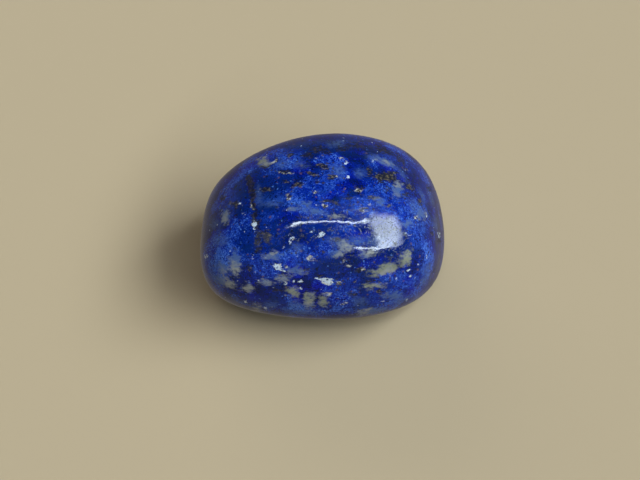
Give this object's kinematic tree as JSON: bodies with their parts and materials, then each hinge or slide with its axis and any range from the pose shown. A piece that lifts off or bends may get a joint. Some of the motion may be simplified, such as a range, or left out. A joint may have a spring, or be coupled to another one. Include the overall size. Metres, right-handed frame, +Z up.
{
  "type": "tumbled lapis lazuli stone",
  "caption": "Tumbled and polished lapis lazuli pebble, a rounded blue block that rests on its flattest side.",
  "frame": {"origin": "on the surface the stone rests on, under the middle of its length and width", "axes": "+Z up, +X along the stone's length, -Y towards the side that the picture shows"},
  "size_m": [0.0286, 0.0226, 0.0188],
  "materials": {
    "lapis": "polished"
  },
  "bodies": {
    "root": {"stone": "lapis"}
  },
  "joints": []
}
